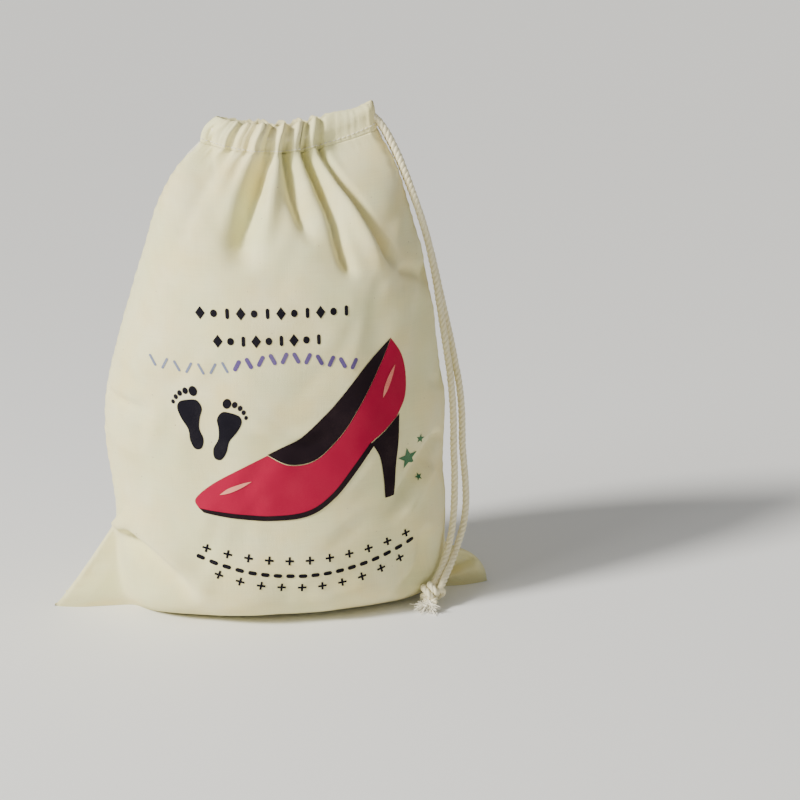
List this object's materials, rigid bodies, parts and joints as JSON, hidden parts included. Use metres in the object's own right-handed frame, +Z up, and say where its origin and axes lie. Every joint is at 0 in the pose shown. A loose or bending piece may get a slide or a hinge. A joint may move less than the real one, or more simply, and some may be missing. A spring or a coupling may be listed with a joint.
{
  "type": "drawstring shoe bag",
  "caption": "Cotton drawstring shoe bag standing filled on its flat bottom, mouth gathered by a cord that leaves one top corner and ends in a knot.",
  "frame": {"origin": "under the middle of the bag, at the level of the surface it stands on", "axes": "+X along the bag's width towards the corner where the cord comes out, -Y is the printed front, +Z up"},
  "size_m": [0.296, 0.1548, 0.3333],
  "materials": {
    "cotton_cloth": "unbleached plain-weave cotton with small flecks",
    "cotton_inside": "unbleached plain-weave cotton, raw edge",
    "sewing_thread": "matt cotton thread",
    "cotton_cord": "soft twisted cotton cord",
    "cord_fluff": "untwisted cotton yarn ends"
  },
  "bodies": {
    "bag": {"front_panel": "cotton_cloth", "back_panel": "cotton_cloth", "front_channel": "cotton_cloth", "back_channel": "cotton_cloth", "left_side_allowance": "cotton_inside", "right_side_allowance": "cotton_inside", "bottom_allowance": "cotton_inside", "left_side_overlock": "sewing_thread", "right_side_overlock": "sewing_thread", "bottom_overlock": "sewing_thread", "front_channel_stitching": "sewing_thread", "back_channel_stitching": "sewing_thread", "left_bartack": "sewing_thread", "cord_exit_bartack": "sewing_thread"},
    "drawstring": {"drawstring": "cotton_cord"},
    "tails": {"front_tail": "cotton_cord", "back_tail": "cotton_cord", "stopper_knot": "cotton_cord", "front_cut_end": "cord_fluff", "back_cut_end": "cord_fluff"}
  },
  "joints": [
    {"name": "drawstring_pull", "type": "slide", "parent": "bag", "child": "drawstring", "axis": [0.96, 0, 0.28], "range_m": [0, 0.04], "deforming": ["front_channel", "back_channel", "front_channel_stitching", "back_channel_stitching", "left_bartack"]},
    {"name": "tail_swing", "type": "hinge", "parent": "drawstring", "child": "tails", "pos_m": [0.072, 0, 0.3205], "axis": [0, -1, 0], "range_deg": [0, 95]}
  ]
}
